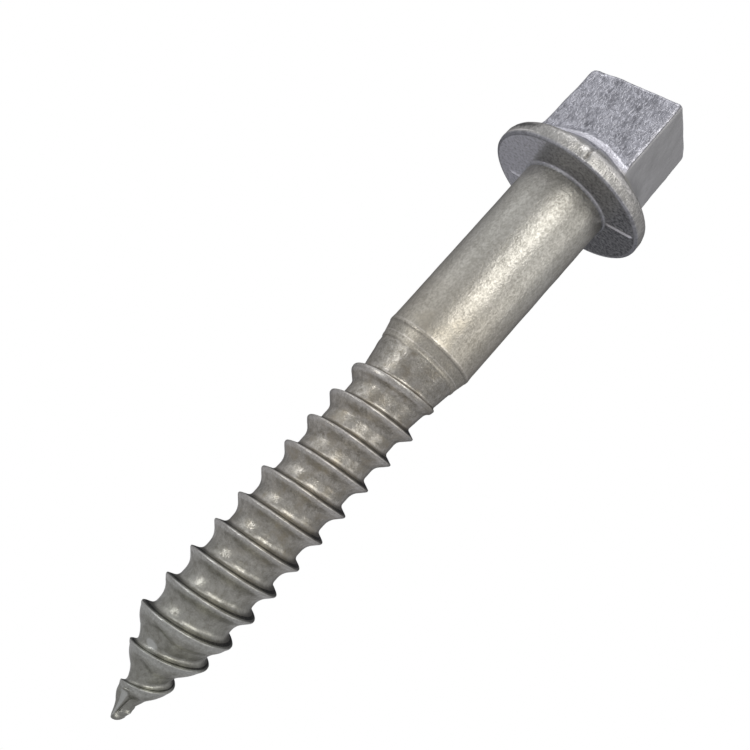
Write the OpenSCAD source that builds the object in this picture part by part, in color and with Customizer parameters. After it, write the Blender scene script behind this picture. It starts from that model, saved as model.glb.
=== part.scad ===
// Rail screw spike: a one-piece steel forging that holds a rail to a wooden sleeper.
// The origin is the centre of the collar's bearing face. +Z runs up through the head,
// and the spike is driven along -Z. X and Y are square to the head's flats.
// Each module is one zone of the forging, and the zones meet face to face.

/* [Drive head] */
// Width of the head along X, at half its height
head_x = 26.8; // [22:0.1:32]
// Width of the head along Y, at half its height
head_y = 21.0; // [17.5:0.1:25]
// Height of the flat top above the bearing face
head_top = 31.2; // [26:0.1:38]
// How far each side leans in from the foot to the top
head_taper = 0.4; // [0:0.1:1.5]
// Radius of the four upright edges
head_corner_r = 1.0; // [0.5:0.1:3]
// Height and width of the broken edge around the top
head_edge = 0.6; // [0.3:0.1:2]

/* [Collar] */
// Outer diameter of the collar
collar_d = 44; // [36.5:0.5:53]
// Height of the straight wall around the rim's lower edge
rim_wall = 2.4; // [1.6:0.1:4]
// Radius under the rim
rim_lower_r = 0.8; // [0.4:0.1:1.5]
// Radius over the rim, where it turns into the cone
rim_upper_r = 3; // [1:0.1:3.5]
// Slope of the cone on top of the collar
cone_slope = 32; // [26:1:38]
// Fillet between the collar and the shank
seat_fillet = 0.8; // [0.4:0.1:1.5]

/* [Shank] */
// Diameter of the plain shank
shank_d = 24; // [20:0.1:29]
// From the bearing face to the lower end of the plain shank
shank_end = 52.5; // [44:0.5:62]

/* [Neck] */
// Length of the first, short cone under the shank
neck_len = 4.5; // [3.5:0.1:6]
// How much narrower the neck is than the shank at its lower end
neck_drop = 2.0; // [1:0.1:3]

/* [Thread] */
// Outer diameter over the crests
thread_d = 22.6; // [18.8:0.1:27.2]
// Diameter of the core between the crests
core_d = 17.5; // [14.5:0.1:21]
// Distance from crest to crest
pitch = 8.1; // [6.7:0.05:9.8]
// Flat width of a crest
crest_w = 0.5; // [0.3:0.05:0.8]
// Lean of the steep flank, which faces the head, from square to the axis
steep_flank = 22; // [10:1:30]
// Lean of the shallow flank, which faces the tip, from square to the axis
shallow_flank = 46; // [35:1:50]
// Width of the fillet at the foot of each flank
root_fillet = 0.4; // [0.2:0.05:0.8]
// From the neck to where the core reaches its full depth
runout_len = 13; // [10:0.5:16]
// From the neck to where the crest is at its full height
fade_len = 10.4; // [8:0.1:13]
// Depth below the bearing face of the first full crest, on the +X side
first_crest = 72.1; // [60:0.1:84]

/* [Point] */
// From the bearing face to the tip
under_collar = 164; // [136.5:0.5:197]
// Length of the tapered point
point_len = 23.4; // [19.5:0.1:28]
// Radius of the blunt tip
tip_r = 0.7; // [0.4:0.1:1.5]
// How far the drawn-out tip stands off the axis
tip_offset = 1.3; // [0:0.1:2]
// Direction of the tip's offset, round from +X
tip_direction = 30; // [0:1:360]

/* [Hidden] */
$fn = 96;

shank_r = shank_d / 2;
collar_r = collar_d / 2;
seat_r = collar_r - rim_lower_r;

// The head takes over from the collar where the cone is just wider than the head's corners.
foot_clearance = 0.15;
foot_r = norm([head_x / 2, head_y / 2]) + foot_clearance;
// The rim's upper radius turns to the slope of the cone, and is limited by the ledge that
// the head's corners leave around them.
ledge = collar_r - foot_r - foot_clearance;
rim_r = min(rim_upper_r, ledge / (1 - sin(cone_slope)));
cone_r = collar_r - rim_r * (1 - sin(cone_slope));
cone_z = rim_wall + rim_r * cos(cone_slope);
foot_z = cone_z + (cone_r - foot_r) * tan(cone_slope);
// The cone runs on inside the head, and ends a little behind the head's nearer flats.
apex_inset = 0.4;
apex_r = min(head_x, head_y) / 2 - head_taper - apex_inset;
apex_z = foot_z + (foot_r - apex_r) * tan(cone_slope);
// The head is a hull of thin slices of its outline.
slice = 0.01;

// Levels down the shank, all below the bearing face.
neck_z = -shank_end;
thread_z = neck_z - neck_len;
neck_r = shank_r - neck_drop / 2;
core_z = thread_z - runout_len;
full_crest_z = thread_z - fade_len;
tip_z = -under_collar;
point_z = tip_z + point_len;

core_r = core_d / 2;
crest_r = thread_d / 2;
tip_round = 0.4;
bend_start = 5.5;
bend_len = 7;

// One pitch of the ridge, up from the middle of a crest: [rise, share of the ridge's height].
ridge_h = crest_r - core_r;
steep_run = ridge_h * tan(steep_flank);
shallow_run = ridge_h * tan(shallow_flank);
half_crest = crest_w / 2;
// The fillets at the foot of the flanks are limited to a share of the root's width, and
// rise to a share of the ridge's height.
root_w = pitch - crest_w - steep_run - shallow_run;
widest_share = 0.4;
fillet_run = min(root_fillet, widest_share * root_w);
fillet_share = 0.1;
profile = [
    [0, 1],
    [half_crest, 1],
    [half_crest + (1 - fillet_share) * steep_run, fillet_share],
    [half_crest + steep_run + fillet_run, 0],
    [pitch - half_crest - shallow_run - fillet_run, 0],
    [pitch - half_crest - (1 - fillet_share) * shallow_run, fillet_share],
    [pitch - half_crest, 1],
    [pitch, 1],
];
// The rows of points lie on the profile's corners, without the two at a crest's middle.
rows_a_turn = len(profile) - 2;
steps = 60;
// A row closer than this to the end of its rod is moved onto the end.
snap = 0.12;

function mix(a, b, t) = a + (b - a) * min(1, max(0, t));

// Radius of the core and of the crest at a height.
function core_at(z) =
    z > core_z ? mix(core_r, neck_r, (z - core_z) / runout_len)
    : mix(tip_r, core_r, (z - tip_z) / point_len);
function crest_at(z) = mix(tip_r, crest_r, (z - tip_z) / point_len);
// The ridge grows out of the run-out over the fade length.
function fade_at(z) = mix(1, 0, (z - full_crest_z) / fade_len);
// Height above the nearest crest below, for a helix that climbs one pitch a turn.
function rise_at(angle, z) =
    let (climb = z + first_crest - pitch * angle / 360)
    climb - pitch * floor(climb / pitch);
function radius_at(angle, z) =
    core_at(z)
    + lookup(rise_at(angle, z), profile) * fade_at(z) * max(0, crest_at(z) - core_at(z));
// The drawn-out tip stands a little off the axis.
function bend_at(z) =
    let (t = mix(0, 1, (point_z - bend_start - z) / bend_len))
    tip_offset * t * t * (3 - 2 * t);
function axis_point(z) = [bend_at(z) * cos(tip_direction), bend_at(z) * sin(tip_direction), z];
function ring_point(angle, z) =
    axis_point(z) + radius_at(angle, z) * [cos(angle), sin(angle), 0];

// A rod whose rows of points follow the helix. Rows that pass an end lie on that end.
module threaded_rod(z_low, z_high, z_centre) {
    turns_below = ceil((-first_crest - z_low) / pitch) + 2;
    first_z = -first_crest - turns_below * pitch;
    rows = rows_a_turn * (ceil((z_high - first_z) / pitch) + 2);
    function row_z(i, j) =
        first_z + pitch * (i / steps + floor(j / rows_a_turn)) + profile[1 + j % rows_a_turn][0];
    low = [for (i = [0:steps - 1])
        len([for (j = [0:rows - 1]) if (row_z(i, j) <= z_low + snap) j]) - 1];
    high = [for (i = [0:steps - 1])
        len([for (j = [0:rows - 1]) if (row_z(i, j) < z_high - snap) j])];
    // Column `steps` is column 0 again, one turn further up the helix.
    function at(i, j) =
        i == steps ? min(max(j + rows_a_turn, low[0]), high[0])
        : i * rows + min(max(j, low[i]), high[i]);
    points = [
        for (i = [0:steps - 1])
            for (j = [0:rows - 1])
                ring_point(
                    360 * i / steps,
                    j <= low[i] ? z_low : j >= high[i] ? z_high : row_z(i, j)),
        axis_point(z_centre),
        axis_point(z_high),
    ];
    low_centre = steps * rows;
    high_centre = low_centre + 1;
    faces = [
        for (i = [0:steps - 1])
            for (j = [0:rows - 2])
                let (a = at(i, j), b = at(i + 1, j), c = at(i + 1, j + 1), d = at(i, j + 1))
                each [if (a != d) [a, d, c], if (b != c) [a, c, b]],
        for (i = [0:steps - 1]) [low_centre, at(i, 0), at(i + 1, 0)],
        for (i = [0:steps - 1]) [high_centre, at(i + 1, rows - 1), at(i, rows - 1)],
    ];
    polyhedron(points, faces, convexity = 12);
}

// Outline of the head, `lean` narrower on every side than at half height.
module head_outline(lean) {
    offset(head_corner_r)
        square([head_x, head_y] - 2 * (lean + head_corner_r) * [1, 1], center = true);
}

module head_slice(z, lean) {
    translate([0, 0, z - slice]) linear_extrude(slice) head_outline(lean, $fn = 32);
}

module drive_head() color("silver") {
    hull() {
        translate([0, 0, slice]) head_slice(foot_z, -head_taper / 2);
        head_slice(head_top - head_edge, head_taper / 2);
        head_slice(head_top, head_taper / 2 + head_edge);
    }
    translate([0, 0, foot_z]) cylinder(apex_z - foot_z, foot_r, apex_r);
}

module collar() color("lightgray")
    rotate_extrude() polygon([
        [0, -seat_fillet],
        // the fillet down to the shank
        for (a = [0:15:90])
            [shank_r + seat_fillet * (1 - cos(a)), -seat_fillet * (1 - sin(a))],
        // round under the rim, then over it and up the cone
        for (a = [-90:15:0])
            [seat_r + rim_lower_r * cos(a), rim_lower_r * (1 + sin(a))],
        for (a = [0:10:90 - cone_slope])
            [collar_r - rim_r * (1 - cos(a)), rim_wall + rim_r * sin(a)],
        [cone_r, cone_z],
        [foot_r, foot_z],
        [0, foot_z],
    ]);

module shank() color("darkgray")
    translate([0, 0, neck_z]) cylinder(shank_end - seat_fillet, shank_r, shank_r);

module neck() color("darkgray")
    translate([0, 0, thread_z]) cylinder(neck_len, neck_r, shank_r);

module thread() color("gray") threaded_rod(point_z, thread_z, point_z);

module gimlet_point() color("dimgray") threaded_rod(tip_z + tip_round, point_z, tip_z);

drive_head();
collar();
shank();
neck();
thread();
gimlet_point();
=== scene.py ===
"""The looks of a rail screw spike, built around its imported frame.

The spike is one steel forging: a rectangular drive head on a coned collar, a plain shank,
a short neck, a rolled wood-screw thread and a gimlet point. Three continuous skins stand
for the six zones of the frame, so the zones run into one another as they do in steel.
Lengths are in metres, in the frame's own axes, with +Z up through the head.
"""

import logging
import math
from dataclasses import dataclass
from enum import Enum
from typing import Callable, Iterable

import bmesh
import bpy
from mathutils import Matrix, Vector, noise


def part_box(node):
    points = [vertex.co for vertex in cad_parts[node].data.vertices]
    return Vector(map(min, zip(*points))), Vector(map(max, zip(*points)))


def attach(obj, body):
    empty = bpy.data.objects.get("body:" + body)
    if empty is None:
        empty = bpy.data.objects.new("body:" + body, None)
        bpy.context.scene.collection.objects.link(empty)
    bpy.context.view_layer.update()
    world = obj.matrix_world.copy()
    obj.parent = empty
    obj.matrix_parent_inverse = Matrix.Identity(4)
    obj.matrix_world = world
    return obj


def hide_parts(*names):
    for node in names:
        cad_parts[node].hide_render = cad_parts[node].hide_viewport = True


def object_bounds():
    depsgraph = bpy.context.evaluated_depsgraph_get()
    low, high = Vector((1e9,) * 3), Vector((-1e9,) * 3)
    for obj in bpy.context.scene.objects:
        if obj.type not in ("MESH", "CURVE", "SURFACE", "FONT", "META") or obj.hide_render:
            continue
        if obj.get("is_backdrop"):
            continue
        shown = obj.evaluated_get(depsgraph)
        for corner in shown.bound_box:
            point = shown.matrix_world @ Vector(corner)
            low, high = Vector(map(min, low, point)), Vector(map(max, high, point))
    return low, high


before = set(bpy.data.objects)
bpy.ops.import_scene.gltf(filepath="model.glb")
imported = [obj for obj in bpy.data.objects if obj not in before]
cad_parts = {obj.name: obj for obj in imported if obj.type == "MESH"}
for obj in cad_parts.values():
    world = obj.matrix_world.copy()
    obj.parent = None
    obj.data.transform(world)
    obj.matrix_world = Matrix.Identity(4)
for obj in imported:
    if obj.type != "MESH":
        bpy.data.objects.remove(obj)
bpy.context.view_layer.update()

log = logging.getLogger("rail_spike")

MM = 0.001
TURN = 2 * math.pi
MERGE_DISTANCE = 0.002 * MM
SHARP_ANGLE = math.radians(50)

Colour = tuple[float, float, float]
Point2 = tuple[float, float]


class Slot(Enum):
    """The record's material slots."""

    HEAD = "forged_head"
    SHANK = "shank_steel"
    THREAD = "thread_steel"


class Zone(Enum):
    """The zones of the head's and collar's section, from the top to the base."""

    TOP = "top"
    BROW = "brow"
    SIDE = "side"
    FOOT = "foot"
    CONE = "cone"
    RIM = "rim"
    SEAT = "seat"
    LIP = "lip"
    BASE = "base"


class Flank(Enum):
    """The parts of one pitch of the thread, up from the middle of a crest."""

    CREST = "crest"
    STEEP = "steep"
    ROOT = "root"
    GROOVE = "groove"
    SHALLOW = "shallow"
    BROW = "brow"


class Corner(Enum):
    """The head's worn top corners, as the signs of X and Y."""

    NEAR_LEFT = (-1, -1)
    FAR_RIGHT = (1, 1)
    FAR_LEFT = (-1, 1)


# ---------------------------------------------------------------- shaping helpers


def clamp(value: float, low: float = 0.0, high: float = 1.0) -> float:
    """Returns value, held between low and high."""
    return max(low, min(high, value))


def mix(low: float, high: float, share: float) -> float:
    """Returns low at a share of 0 and high at a share of 1, held beyond them."""
    return low + (high - low) * clamp(share)


def ease(share: float) -> float:
    """Returns a share from 0 to 1 with a soft start and a soft stop."""
    held = clamp(share)
    return held * held * (3 - 2 * held)


def bump_at(value: float, centre: float, width: float) -> float:
    """Returns a smooth bump, 1 at centre and close to 0 beyond a width either side."""
    return math.exp(-(((value - centre) / width) ** 2) * 2)


def round_corner(before: Point2, corner: Point2, after: Point2, reach: float,
                 count: int) -> list[Point2]:
    """Rounds one corner of an outline.

    Args:
        before: The outline's point before the corner.
        corner: The corner.
        after: The outline's point after the corner.
        reach: How far from the corner the round starts and ends.
        count: How many points the round has.

    Returns:
        The points of the round, in the outline's order.
    """
    middle = Vector(corner)
    to_before, to_after = Vector(before) - middle, Vector(after) - middle
    start = middle + to_before.normalized() * min(reach, to_before.length * 0.49)
    end = middle + to_after.normalized() * min(reach, to_after.length * 0.49)
    points = []
    for i in range(count):
        t = i / (count - 1)
        p = start * (1 - t) ** 2 + middle * 2 * t * (1 - t) + end * t ** 2
        points.append((p.x, p.y))
    return points


def arc(centre: Point2, radius: float, start: float, end: float,
        count: int) -> list[Point2]:
    """Lays points along an arc.

    Args:
        centre: The arc's centre.
        radius: The arc's radius.
        start: The angle of the first point, round from outward.
        end: The angle of the last point.
        count: How many points the arc has.

    Returns:
        The points of the arc, in order.
    """
    angles = [start + (end - start) * i / (count - 1) for i in range(count)]
    return [(centre[0] + radius * math.cos(a), centre[1] + radius * math.sin(a))
            for a in angles]


def between(start: Point2, end: Point2, count: int) -> list[Point2]:
    """Returns count points spaced evenly inside the line from start to end.

    Args:
        start: The line's start.
        end: The line's end.
        count: How many points are wanted.

    Returns:
        The points, without the line's own ends.
    """
    return [
        (start[0] + (end[0] - start[0]) * i / (count + 1),
         start[1] + (end[1] - start[1]) * i / (count + 1))
        for i in range(1, count + 1)
    ]


def along(knots: list[Point2], place: float) -> float:
    """Reads a smooth curve through knots of (place, value), in rising order of place.

    Args:
        knots: The curve's knots.
        place: Where to read it.

    Returns:
        The value there, held beyond the first and last knots.
    """
    if place <= knots[0][0]:
        return knots[0][1]
    for (a, low), (b, high) in zip(knots, knots[1:]):
        if place <= b:
            return mix(low, high, (place - a) / (b - a))
    return knots[-1][1]


def polar(radius: float, angle: float, height: float = 0.0) -> Vector:
    """Returns the place at a radius and an angle round from +X."""
    return Vector((radius * math.cos(angle), radius * math.sin(angle), height))


def unevenness(place: Vector, wave: float, height: float, seed: float) -> float:
    """Returns a smooth random height.

    Args:
        place: The point on the surface.
        wave: The distance over which the height changes.
        height: The largest height.
        seed: Moves the pattern, so that two uses differ.

    Returns:
        A height between -height and height.
    """
    return height * noise.noise(place / wave + Vector((seed, seed * 2, seed * 3)))


def rolled_sheet(rows: int, steps: int, place: Callable[[int, int], Vector],
                 marks: dict[str, Callable[[int, int], float]]) -> bmesh.types.BMesh:
    """Makes a flat sheet of faces, rolls it round the spike and stores its marks.

    Args:
        rows: The number of vertices one way, one for each point of a section.
        steps: The number of faces the other way, one for each step round the axis.
        place: Gives the place of a row and step.
        marks: Gives the value of each named mark at a row and step.

    Returns:
        The rolled sheet, with its seam and its ends still open.
    """
    bm = bmesh.new()
    bmesh.ops.create_grid(bm, x_segments=rows - 1, y_segments=steps, size=0.5)
    bmesh.ops.translate(bm, verts=bm.verts, vec=(0.5, 0.5, 0))
    bmesh.ops.scale(bm, verts=bm.verts, vec=(rows - 1, steps, 1))
    layers = {name: bm.verts.layers.float.new(name) for name in marks}
    for vert in bm.verts:
        row, step = round(vert.co.x), round(vert.co.y)
        for name, mark in marks.items():
            vert[layers[name]] = mark(row, step)
        vert.co = place(row, step)
    return bm


def finished(bm: bmesh.types.BMesh, name: str) -> bpy.types.Object:
    """Closes a rolled sheet and makes its object.

    Args:
        bm: The rolled sheet, which is freed.
        name: The piece's name.

    Returns:
        The object, at the origin, with its open ends filled and its sharp edges marked.
    """
    bmesh.ops.remove_doubles(bm, verts=bm.verts, dist=MERGE_DISTANCE)
    bmesh.ops.dissolve_degenerate(bm, edges=bm.edges, dist=MERGE_DISTANCE)
    bmesh.ops.holes_fill(bm, edges=[e for e in bm.edges if e.is_boundary], sides=0)
    loose = [v for v in bm.verts if not v.link_faces]
    bmesh.ops.delete(bm, geom=loose, context="VERTS")
    bmesh.ops.recalc_face_normals(bm, faces=bm.faces)
    for face in bm.faces:
        face.smooth = True
    for edge in bm.edges:
        if len(edge.link_faces) == 2 and edge.calc_face_angle() > SHARP_ANGLE:
            edge.smooth = False
    mesh = bpy.data.meshes.new(name)
    bm.to_mesh(mesh)
    bm.free()
    piece = bpy.data.objects.new(name, mesh)
    bpy.context.scene.collection.objects.link(piece)
    return piece


# ---------------------------------------------------------------- node helpers


class Graph:
    """Places nodes in one node tree and joins them."""

    def __init__(self, tree: bpy.types.NodeTree) -> None:
        """Takes the tree that the nodes go into."""
        self.tree = tree

    def node(self, kind: str, inputs: dict[str | int, object] | None = None,
             **settings: object) -> bpy.types.Node:
        """Adds one node.

        Args:
            kind: The node's type, without the leading ShaderNode.
            inputs: A socket to link, or a constant, for each input's name or index.
            settings: The node's own properties.

        Returns:
            The new node.
        """
        made = self.tree.nodes.new("ShaderNode" + kind)
        for name, value in settings.items():
            setattr(made, name, value)
        for key, value in (inputs or {}).items():
            if isinstance(value, bpy.types.NodeSocket):
                self.tree.links.new(value, made.inputs[key])
            else:
                made.inputs[key].default_value = value
        return made

    def maths(self, operation: str, first: object, second: object = 0.0,
              held: bool = False) -> bpy.types.NodeSocket:
        """Adds a Math node and returns its output."""
        made = self.node("Math", {0: first, 1: second}, operation=operation, use_clamp=held)
        return made.outputs[0]

    def span(self, value: object, low: float, high: float, to_low: float = 0.0,
             to_high: float = 1.0) -> bpy.types.NodeSocket:
        """Maps low..high to to_low..to_high with soft ends, and returns the output.

        Args:
            value: The value to map.
            low: The value's low end.
            high: The value's high end.
            to_low: The output at the low end.
            to_high: The output at the high end.

        Returns:
            The mapped value.
        """
        made = self.node(
            "MapRange",
            {"Value": value, "From Min": low, "From Max": high, "To Min": to_low,
             "To Max": to_high},
            interpolation_type="SMOOTHSTEP",
        )
        return made.outputs["Result"]

    def blend(self, share: object, first: object, second: object,
              mode: str = "MIX") -> bpy.types.NodeSocket:
        """Mixes two colours by a share, and returns the output.

        Args:
            share: How much of the second colour there is.
            first: The first colour.
            second: The second colour.
            mode: How the colours mix.

        Returns:
            The mixed colour.
        """
        made = self.node("Mix", {0: share, 6: first, 7: second}, data_type="RGBA",
                         blend_type=mode)
        return made.outputs[2]

    def clouds(self, place: object, size: object, detail: float,
               rough: float) -> bpy.types.NodeSocket:
        """Adds a noise field and returns its value.

        Args:
            place: The coordinates, in millimetres.
            size: How far apart the clouds are, in millimetres.
            detail: How many finer layers it has.
            rough: How strong the finer layers are.

        Returns:
            The field's output, around 0.5.
        """
        made = self.node("TexNoise", {"Vector": place, "Detail": detail, "Roughness": rough,
                                      "Scale": self.maths("DIVIDE", 1.0, size)})
        return made.outputs["Fac"]

    def height(self) -> bpy.types.NodeSocket:
        """Returns the height on the object, in metres."""
        place = self.node("TexCoord").outputs["Object"]
        return self.node("SeparateXYZ", {"Vector": place}).outputs["Z"]

    def link(self, start: bpy.types.NodeSocket, end: bpy.types.NodeSocket) -> None:
        """Joins an output to an input."""
        self.tree.links.new(start, end)

    def attribute(self, name: str) -> bpy.types.NodeSocket:
        """Returns the value of one of the mesh's own marks."""
        return self.node("Attribute", attribute_name=name).outputs["Fac"]


def rgba(colour: Colour) -> tuple[float, float, float, float]:
    """Returns a colour with a full alpha."""
    return (*colour, 1.0)


def new_group(name: str, takes: dict[str, float],
              gives: Iterable[str]) -> tuple[Graph, dict, dict]:
    """Starts a shader node group.

    Args:
        name: The group's name.
        takes: The group's number inputs, with their defaults.
        gives: The group's number outputs.

    Returns:
        The group's graph, its input sockets and its output sockets by name.
    """
    tree = bpy.data.node_groups.new(name, "ShaderNodeTree")
    for label, default in takes.items():
        socket = tree.interface.new_socket(name=label, in_out="INPUT",
                                           socket_type="NodeSocketFloat")
        socket.default_value = default
    for label in gives:
        tree.interface.new_socket(name=label, in_out="OUTPUT", socket_type="NodeSocketFloat")
    start = tree.nodes.new("NodeGroupInput")
    end = tree.nodes.new("NodeGroupOutput")
    inputs = {label: start.outputs[label] for label in takes}
    outputs = {label: end.inputs[label] for label in gives}
    return Graph(tree), inputs, outputs


class Effects:
    """The shader node groups that the finishes share, each built once."""

    def __init__(self) -> None:
        """Builds the groups."""
        self.grain = self._grain()
        self.scratches = self._scratches()
        self.wear = self._wear()

    def _coordinates(self, graph: Graph,
                     turn: tuple[float, float, float] = (0, 0, 0)) -> bpy.types.NodeSocket:
        """Returns the object's own coordinates in millimetres, turned.

        Args:
            graph: The graph that the nodes go into.
            turn: The turn about each axis.

        Returns:
            The coordinates.
        """
        place = graph.node("TexCoord").outputs["Object"]
        turned = graph.node("Mapping", {"Vector": place, "Rotation": turn})
        mapped = graph.node("Mapping", {"Vector": turned.outputs[0],
                                        "Scale": Vector((1, 1, 1)) / MM})
        return mapped.outputs[0]

    def _grain(self) -> bpy.types.NodeTree:
        """Builds forging scale: broad clouds, coarse mottling and fine pitting.

        Returns:
            The group's tree.
        """
        graph, takes, gives = new_group(
            "forging_grain",
            {"Cloud size": 5.0, "Mottle size": 1.0, "Pit size": 0.35, "Length": 1.0},
            ("Cloud", "Mottle", "Pits"))
        shorter = graph.maths("DIVIDE", 1.0, takes["Length"])
        stretch = graph.node("CombineXYZ", {"X": 1.0, "Y": 1.0, "Z": shorter})
        place = graph.node("VectorMath", {0: self._coordinates(graph), 1: stretch.outputs[0]},
                           operation="MULTIPLY").outputs[0]
        for label, source, detail, rough in (
                ("Cloud", "Cloud size", 3.0, 0.55), ("Mottle", "Mottle size", 4.0, 0.62),
                ("Pits", "Pit size", 2.0, 0.5)):
            graph.link(graph.clouds(place, takes[source], detail, rough), gives[label])
        return graph.tree

    def _scratches(self) -> bpy.types.NodeTree:
        """Builds fine streaks that cross at a shallow angle, mostly along the spike.

        Returns:
            The group's tree.
        """
        graph, takes, gives = new_group(
            "drag_scratches", {"Width": 0.25, "Length": 3.0}, ("Streaks",))
        across = graph.maths("DIVIDE", 1.0, takes["Width"])
        lengthways = graph.maths("DIVIDE", takes["Width"], takes["Length"])
        fields = []
        for lean in (math.radians(28), math.radians(-17)):
            place = self._coordinates(graph, turn=(lean, lean * 0.7, 0))
            scaled = graph.node("VectorMath", {0: place}, operation="MULTIPLY")
            stretch = graph.node("CombineXYZ", {"X": 1.0, "Y": 1.0, "Z": lengthways})
            graph.link(stretch.outputs[0], scaled.inputs[1])
            field = graph.node("TexNoise", {"Vector": scaled.outputs[0], "Scale": across,
                                            "Detail": 1.5, "Roughness": 0.5})
            fields.append(graph.span(field.outputs["Fac"], 0.50, 0.72))
        graph.link(graph.maths("MAXIMUM", *fields), gives["Streaks"])
        return graph.tree

    def _wear(self) -> bpy.types.NodeTree:
        """Builds rubbed edges with painted highlights, and oxide held in hollows with painted
        shade, from the mesh's marks.

        Returns:
            The group's tree.
        """
        graph, takes, gives = new_group(
            "wear_and_painted_light", {"Ragged": 0.5, "Size": 0.6}, ("Rubbed and highlit", "Oxide and shade"))
        field = graph.clouds(self._coordinates(graph), takes["Size"], 3.0, 0.6)
        swing = graph.maths("MULTIPLY", graph.maths("SUBTRACT", field, 0.5), takes["Ragged"])
        # the edge mark holds rubbed wear and painted highlights; the hollow mark holds oxide
        # and painted shade
        for label, mark in (("Rubbed and highlit", "edge"), ("Oxide and shade", "hollow")):
            value = graph.maths("ADD", graph.attribute(mark), swing)
            graph.link(graph.span(value, 0.25, 0.85), gives[label])
        return graph.tree


@dataclass(frozen=True)
class SteelFinish:
    """One finish of the forging: its colours, gloss, texture and how its edges wear.

    Sizes are in millimetres and heights are measured from the collar's seat.
    """

    name: str
    dark: Colour
    light: Colour
    # worn is also the colour of painted highlights, and oxide also the colour of painted shade
    worn: Colour
    oxide: Colour
    rough_dark: float
    rough_light: float
    rough_worn: float
    cloud_mm: float
    mottle_mm: float
    pit_mm: float
    grain_length: float
    scratch_share: float
    streak_mm: float
    streak_len_mm: float
    bump_mm: float
    pit_bump_mm: float
    contrast: float
    plain: Colour
    plain_dark: Colour
    stain: Colour
    stain_share: float
    stain_z: tuple[float, float]
    ragged: float
    ragged_mm: float
    tint_low: Colour
    tint_low_z: tuple[float, float]
    tint_stop_z: tuple[float, float] = (-300.0, -301.0)

    def material(self, effects: Effects) -> bpy.types.Material:
        """Builds the finish's material.

        Args:
            effects: The shared node groups.

        Returns:
            The material.
        """
        made = bpy.data.materials.new(self.name)
        made.use_nodes = True
        made.node_tree.nodes.clear()
        graph = Graph(made.node_tree)
        grain = graph.node("Group", node_tree=effects.grain)
        for label, size in (("Cloud size", self.cloud_mm), ("Mottle size", self.mottle_mm),
                            ("Pit size", self.pit_mm), ("Length", self.grain_length)):
            grain.inputs[label].default_value = size
        streaks = graph.node("Group", {"Width": self.streak_mm, "Length": self.streak_len_mm},
                             node_tree=effects.scratches).outputs["Streaks"]
        wear = graph.node("Group", {"Ragged": self.ragged, "Size": self.ragged_mm},
                          node_tree=effects.wear)
        tone = self._tone(graph, grain, streaks)
        colour = graph.blend(tone, rgba(self.dark), rgba(self.light))
        smooth = graph.blend(grain.outputs["Cloud"], rgba(self.plain_dark), rgba(self.plain))
        colour = graph.blend(graph.attribute("rough"), smooth, colour)
        colour = graph.blend(self._stain(graph, grain), colour, rgba(self.stain))
        # the oxide colour also paints shade and the worn colour also paints highlights, where
        # the mesh's marks ask for them
        colour = graph.blend(wear.outputs["Oxide and shade"], colour, rgba(self.oxide))
        rubbed = graph.maths("MULTIPLY", wear.outputs["Rubbed and highlit"], 0.85)
        colour = graph.blend(rubbed, colour, rgba(self.worn))
        colour = self._tinted(graph, colour)
        rough = graph.span(tone, 0.0, 1.0, self.rough_dark, self.rough_light)
        rough = graph.node("Mix", {0: rubbed, 2: rough, 3: self.rough_worn},
                           data_type="FLOAT").outputs[0]
        shader = graph.node("BsdfPrincipled", {
            "Base Color": colour, "Roughness": rough, "Metallic": 1.0,
            "Normal": self._normal(graph, grain, streaks)})
        output = graph.node("OutputMaterial")
        graph.link(shader.outputs[0], output.inputs["Surface"])
        return made

    def _tone(self, graph: Graph, grain: bpy.types.Node,
              streaks: bpy.types.NodeSocket) -> bpy.types.NodeSocket:
        """Returns how light the steel is: clouds and mottling, with streaks over them.

        Args:
            graph: The graph that the nodes go into.
            grain: The grain group's node.
            streaks: The scratches' output.

        Returns:
            A value from 0 for dark to 1 for light.
        """
        mottle = graph.span(grain.outputs["Mottle"], 0.5 - 0.5 / self.contrast,
                            0.5 + 0.5 / self.contrast)
        cloud = graph.span(grain.outputs["Cloud"], 0.3, 0.7)
        pits = graph.span(grain.outputs["Pits"], 0.35, 0.65)
        base = graph.maths("ADD", graph.maths("MULTIPLY", mottle, 0.4),
                           graph.maths("MULTIPLY", cloud, 0.3))
        base = graph.maths("ADD", base, graph.maths("MULTIPLY", pits, 0.25))
        share = graph.maths("MULTIPLY", streaks, self.scratch_share)
        return graph.maths("ADD", base, share, held=True)

    def _stain(self, graph: Graph, grain: bpy.types.Node) -> bpy.types.NodeSocket:
        """Returns where oxide stains the steel: in patches, between two heights.

        Args:
            graph: The graph that the nodes go into.
            grain: The grain group's node.

        Returns:
            A mask, up to the finish's share.
        """
        height = graph.height()
        low, high = self.stain_z
        above = graph.span(height, low * MM, (low + 15) * MM)
        below = graph.span(height, (high - 6) * MM, high * MM, 1.0, 0.0)
        patches = graph.span(grain.outputs["Cloud"], 0.47, 0.64)
        mottled = graph.span(grain.outputs["Mottle"], 0.35, 0.6, 0.35, 1.0)
        mask = graph.maths("MULTIPLY", graph.maths("MULTIPLY", above, below),
                           graph.maths("MULTIPLY", patches, mottled))
        return graph.maths("MULTIPLY", mask, self.stain_share)

    def _tinted(self, graph: Graph, colour: bpy.types.NodeSocket) -> bpy.types.NodeSocket:
        """Returns the colour, drifting towards the low tint between two heights.

        Args:
            graph: The graph that the nodes go into.
            colour: The colour so far.

        Returns:
            The tinted colour.
        """
        height = graph.height()
        share = graph.span(height, self.tint_low_z[1] * MM, self.tint_low_z[0] * MM, 1.0, 0.0)
        stop = graph.span(height, self.tint_stop_z[1] * MM, self.tint_stop_z[0] * MM)
        share = graph.maths("MULTIPLY", share, stop)
        return graph.blend(share, colour, rgba(self.tint_low), "MULTIPLY")

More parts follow.
